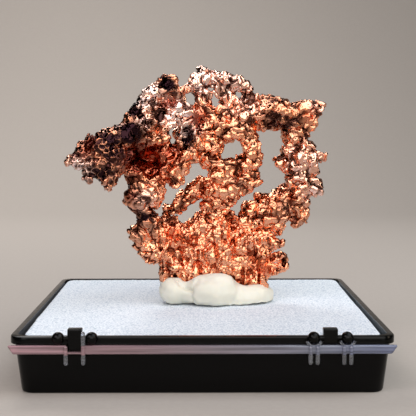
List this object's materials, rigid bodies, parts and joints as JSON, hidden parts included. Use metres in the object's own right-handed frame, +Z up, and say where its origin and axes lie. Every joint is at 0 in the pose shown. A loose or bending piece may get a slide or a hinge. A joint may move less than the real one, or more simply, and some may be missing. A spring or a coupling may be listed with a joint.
{
  "type": "native copper nugget",
  "caption": "Lacy native copper nugget with windows and a swept wing, pressed into pale putty on the white foam of a shallow black hinged display tray.",
  "frame": {"origin": "on the table, under the middle of the square tray", "axes": "+Z up, +X to the right of the hinge side, and the hinge side faces -Y"},
  "size_m": [0.0826, 0.0846, 0.0714],
  "materials": {
    "native_copper": "polished",
    "black_polystyrene": "gloss",
    "clear_polystyrene": "gloss",
    "white_foam": "matte",
    "mineral_tack": "satin"
  },
  "bodies": {
    "root": {"tray": "black_polystyrene", "lid_hinge_strip": "clear_polystyrene", "foam_pad": "white_foam", "mounting_putty": "mineral_tack", "copper_foot": "native_copper", "copper_left_column": "native_copper", "copper_left_wing": "native_copper", "copper_shoulder": "native_copper", "copper_crown": "native_copper", "copper_heart": "native_copper", "copper_right_arm": "native_copper", "copper_right_bow": "native_copper"}
  },
  "joints": []
}
